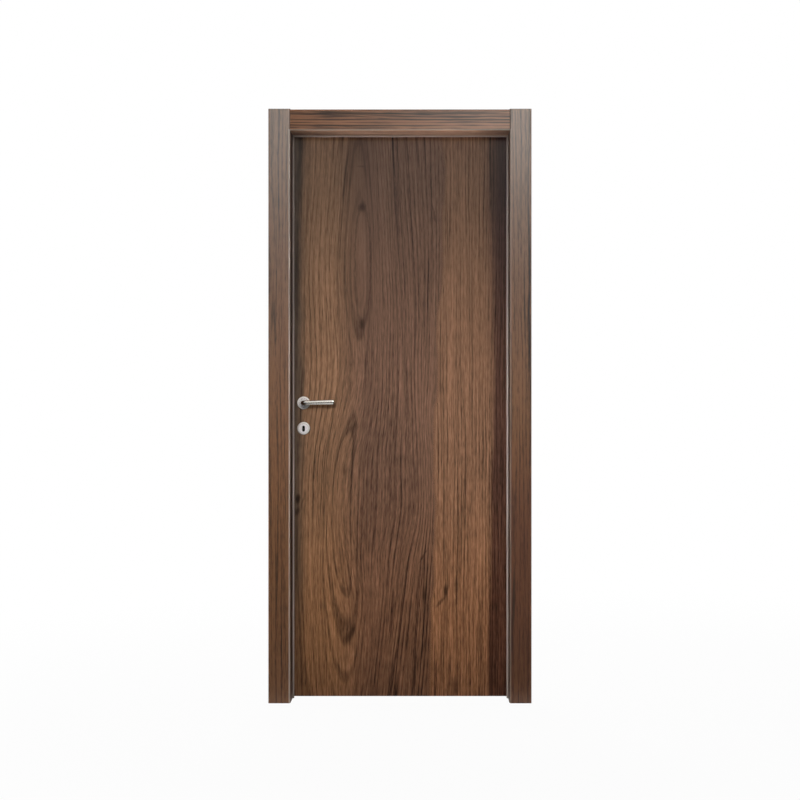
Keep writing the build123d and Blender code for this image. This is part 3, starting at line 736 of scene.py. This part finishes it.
# Painted shade: the plates and the lock case are near black so that the keyhole looks dark.
steel_painted_dark = make_metal("steel_painted_dark", srgb(22, 20, 18), 0.5)
dress(["lock_case"], steel_painted_dark)
mesh = bmesh.new()
for index in range(LEVER_PLATES):
    step = index - (LEVER_PLATES - 1) / 2
    place = (SPINDLE_X, LOCK_DEPTH + step * PLATE_PITCH, KEY_HEIGHT + PLATE_STAGGER * (index % 2))
    add_plate(mesh, place, PLATE_SIZE, PLATE_SOFTENING)
add_piece("lock_levers", mesh, steel_painted_dark, "leaf")


# Plate screws
# Countersunk steel screws with a cross recess, two through the lock's faceplate and two through the strike
# plate. Their heads stand a hair proud.

SCREW_RADIUS = 0.0035
SCREW_CROWN = 0.0028
SCREW_RISE = 0.0004
SCREW_SEAT = 0.0010
RECESS_SPAN = 0.0034
RECESS_DEPTH = 0.0009
RECESS_SLOPE = 0.00015
SCREW_SEGMENTS = 24
LOCK_MIDDLE_HEIGHT = 1.057
FACEPLATE_X = -0.858
STRIKE_PLATE_X = -0.863
# For each plate: its screws, their body, the plate's face, the way the heads face along X, how far they are
# above and below the lock's middle, and the angles of their crosses.
SCREWED_PLATES = (
    ("faceplate_screws", "leaf", FACEPLATE_X, -1, 0.086, (20, 65)),
    ("strike_plate_screws", "frame", STRIKE_PLATE_X, 1, 0.071, (35, 80)),
)


def add_screw(mesh, place, facing, turn):
    """A screw head in a bmesh, facing along X or against it, with its cross at an angle."""
    before = set(mesh.verts)
    recess = bmesh.ops.create_grid(mesh, x_segments=3, y_segments=3, size=RECESS_SPAN / 2)["verts"]
    squares = {face for vert in recess for face in vert.link_faces}
    border = [edge for edge in {edge for vert in recess for edge in vert.link_edges} if edge.is_boundary]
    crown = bmesh.ops.create_circle(mesh, segments=SCREW_SEGMENTS, radius=SCREW_CROWN)["verts"]
    rim = list({edge for vert in crown for edge in vert.link_edges})
    bmesh.ops.bridge_loops(mesh, edges=border + rim)
    for radius, drop in ((SCREW_RADIUS, SCREW_RISE), (SCREW_RADIUS, SCREW_SEAT)):
        grown = bmesh.ops.extrude_edge_only(mesh, edges=rim)["geom"]
        rim = [part for part in grown if isinstance(part, bmesh.types.BMEdge)]
        for vert in {vert for edge in rim for vert in edge.verts}:
            vert.co *= radius / vert.co.to_2d().length
            vert.co.z = -drop
    bmesh.ops.edgeloop_fill(mesh, edges=rim)
    middle_third = RECESS_SPAN / 6
    cross = [
        face for face in squares
        if min(abs(offset) for offset in face.calc_center_median()[:2]) < middle_third
    ]
    bmesh.ops.inset_region(
        mesh, faces=cross, thickness=RECESS_SLOPE, depth=-RECESS_DEPTH, use_even_offset=True
    )
    made = [vert for vert in mesh.verts if vert not in before]
    turned = Matrix.Rotation(radians(90 * facing), 4, "Y") @ Matrix.Rotation(radians(turn), 4, "Z")
    raised = Matrix.Translation((place[0] + facing * SCREW_RISE, *place[1:]))
    bmesh.ops.transform(mesh, matrix=raised @ turned, verts=made)


for name, body, plate_x, facing, reach, turns in SCREWED_PLATES:
    mesh = bmesh.new()
    for up, turn in zip((-reach, reach), turns):
        add_screw(mesh, (plate_x, LOCK_DEPTH, LOCK_MIDDLE_HEIGHT + up), facing, turn)
    bmesh.ops.recalc_face_normals(mesh, faces=mesh.faces)
    add_piece(name, mesh, steel, body)


# Studio
# A pale floor that runs to white under an even white sky. Soft lamps stand before and behind the door and at
# both sides, a small one lies in the threshold, and dark cards out of shot give the satin finishes something
# dark to mirror.

IMAGE_SIDE = 800
SENSOR = 36.0
FOCAL_PIXELS = 1430.0
AXIS_PIXEL = 428.0
CAMERA_PLACE = (-0.344, -5.3095, 1.1125)

scene = bpy.context.scene
scene.view_settings.view_transform = "Standard"
lens = bpy.data.cameras.new("camera")
lens.sensor_width = SENSOR
lens.lens = FOCAL_PIXELS / IMAGE_SIDE * SENSOR
lens.shift_x = (IMAGE_SIDE / 2 - AXIS_PIXEL) / IMAGE_SIDE
camera = bpy.data.objects.new("camera", lens)
camera.location = CAMERA_PLACE
camera.rotation_euler = (radians(90), 0, 0)
scene.collection.objects.link(camera)
scene.camera = camera


def seen_directly(tree):
    """1 for rays from the camera, mirrors and glass, and 0 for the light that falls on things."""
    path = add_node(tree, "ShaderNodeLightPath").outputs
    seen = maths(tree, "MAXIMUM", path["Is Camera Ray"], path["Is Glossy Ray"])
    return maths(tree, "MAXIMUM", seen, path["Is Transmission Ray"])


WHITE = (1, 1, 1, 1)
ROOM_LIGHT = 0.30
world = bpy.data.worlds.new("studio")
world.use_nodes = True
scene.world = world
sky = world.node_tree.nodes["Background"]
sky.inputs["Color"].default_value = WHITE
share = seen_directly(world.node_tree)
level = maths(world.node_tree, "MULTIPLY_ADD", share, 1.0 - ROOM_LIGHT, ROOM_LIGHT)
world.node_tree.links.new(level, sky.inputs["Strength"])


def add_sheet(name, place, turn, width, height):
    """A flat sheet of the studio, centred at a place and turned about X."""
    mesh = bmesh.new()
    bmesh.ops.create_grid(mesh, x_segments=1, y_segments=1, size=0.5)
    shape = Matrix.Translation(place) @ Matrix.Rotation(turn, 4, "X") @ Matrix.Diagonal((width, height, 1, 1))
    bmesh.ops.transform(mesh, matrix=shape, verts=mesh.verts)
    data = bpy.data.meshes.new(name)
    mesh.to_mesh(data)
    mesh.free()
    sheet = bpy.data.objects.new(name, data)
    scene.collection.objects.link(sheet)
    return sheet


STUDIO_MIDDLE = -0.45
FLOOR_SIDE = 60.0
FLOOR_GREY = (0.8, 0.8, 0.8, 1)
FLOOR_GLOW = 0.96
WHITE_FLOOR = (1.2, 3.5)
floor = add_sheet("floor", (STUDIO_MIDDLE, 0.0, 0.0), 0.0, FLOOR_SIDE, FLOOR_SIDE)
floor_paint, tree, matt, axes = start_material("pale_floor")
set_values(matt, {"Base Color": FLOOR_GREY, "Roughness": 0.9, "Specular IOR Level": 0.0})
glow = add_node(tree, "ShaderNodeEmission", {"Color": WHITE, "Strength": 1.0}).outputs[0]
far = slant(tree, axes["X"], axes["Y"])
blend = maths(tree, "MULTIPLY", seen_directly(tree), fade(tree, far, *WHITE_FLOOR, FLOOR_GLOW, 1.0))
mix = add_node(tree, "ShaderNodeMixShader", {0: blend, 1: matt.outputs[0], 2: glow}).outputs[0]
tree.links.new(mix, tree.nodes["Material Output"].inputs["Surface"])
floor.data.materials.append(floor_paint)

CARD_BLACK = (0.03, 0.03, 0.03, 1)
# Each dark card, for both sides of the door: its place, turn, width and height.
CARDS = (
    ("wall_card", (STUDIO_MIDDLE, 7.5, 2.2), radians(90), 24.0, 4.4),
    ("left_floor_card", (-6.44, 3.85, 0.002), 0.0, 11.16, 7.3),
    ("right_floor_card", (5.45, 3.85, 0.002), 0.0, 12.1, 7.3),
)
card_paint, _, matt, _ = start_material("dark_card")
set_values(matt, {"Base Color": CARD_BLACK, "Roughness": 0.9, "Specular IOR Level": 0.0})
for side, toward in (("front", -1), ("back", 1)):
    for name, (x, y, z), turn, width, height in CARDS:
        card = add_sheet(f"{side}_{name}", (x, y * toward, z), turn, width, height)
        card.data.materials.append(card_paint)
        card.visible_camera = False
        card.visible_diffuse = False
        card.visible_shadow = False


def add_lamp(name, place, aim, width, height, power, spread=180.0):
    """A rectangular soft lamp at a place, turned to a point, whose light narrows to a spread in degrees."""
    data = bpy.data.lights.new(name, "AREA")
    data.shape = "RECTANGLE"
    data.size = width
    data.size_y = height
    data.energy = power
    data.spread = radians(spread)
    lamp = bpy.data.objects.new(name, data)
    lamp.location = place
    lamp.rotation_euler = (Vector(aim) - Vector(place)).to_track_quat("-Z", "Y").to_euler()
    scene.collection.objects.link(lamp)
    return lamp


key_lamp = add_lamp(
    "key_lamp",
    place=(-0.95, -5.0, 2.3),
    aim=(STUDIO_MIDDLE, 0.0, 1.0),
    width=2.0,
    height=1.4,
    power=7.5,
    spread=23,
)
key_lamp.visible_glossy = False

sheen_lamp = add_lamp(
    "sheen_lamp", place=(0.3, -5.0, 3.3), aim=(STUDIO_MIDDLE, 0.0, 1.5), width=1.2, height=0.8, power=265
)
sheen_lamp.visible_diffuse = False
sheen_lamp.data.color = (1.0, 0.93, 0.86)

threshold_lamp = add_lamp(
    "threshold_lamp",
    place=(DOORWAY_MIDDLE, -0.03, 0.01),
    aim=(DOORWAY_MIDDLE, -0.03, 2.0),
    width=0.7,
    height=0.06,
    power=0.40,
    spread=10,
)
threshold_lamp.visible_camera = False
threshold_lamp.visible_glossy = False

add_lamp(
    "back_lamp", place=(-1.2, 4.6, 2.9), aim=(STUDIO_MIDDLE, 0.0, 1.1), width=2.0, height=1.6, power=110
)
for side, x in (("left", -5.0), ("right", 4.1)):
    add_lamp(
        f"{side}_lamp", place=(x, 0.9, 1.6), aim=(STUDIO_MIDDLE, 0.3, 1.0), width=1.4, height=2.0, power=40
    )
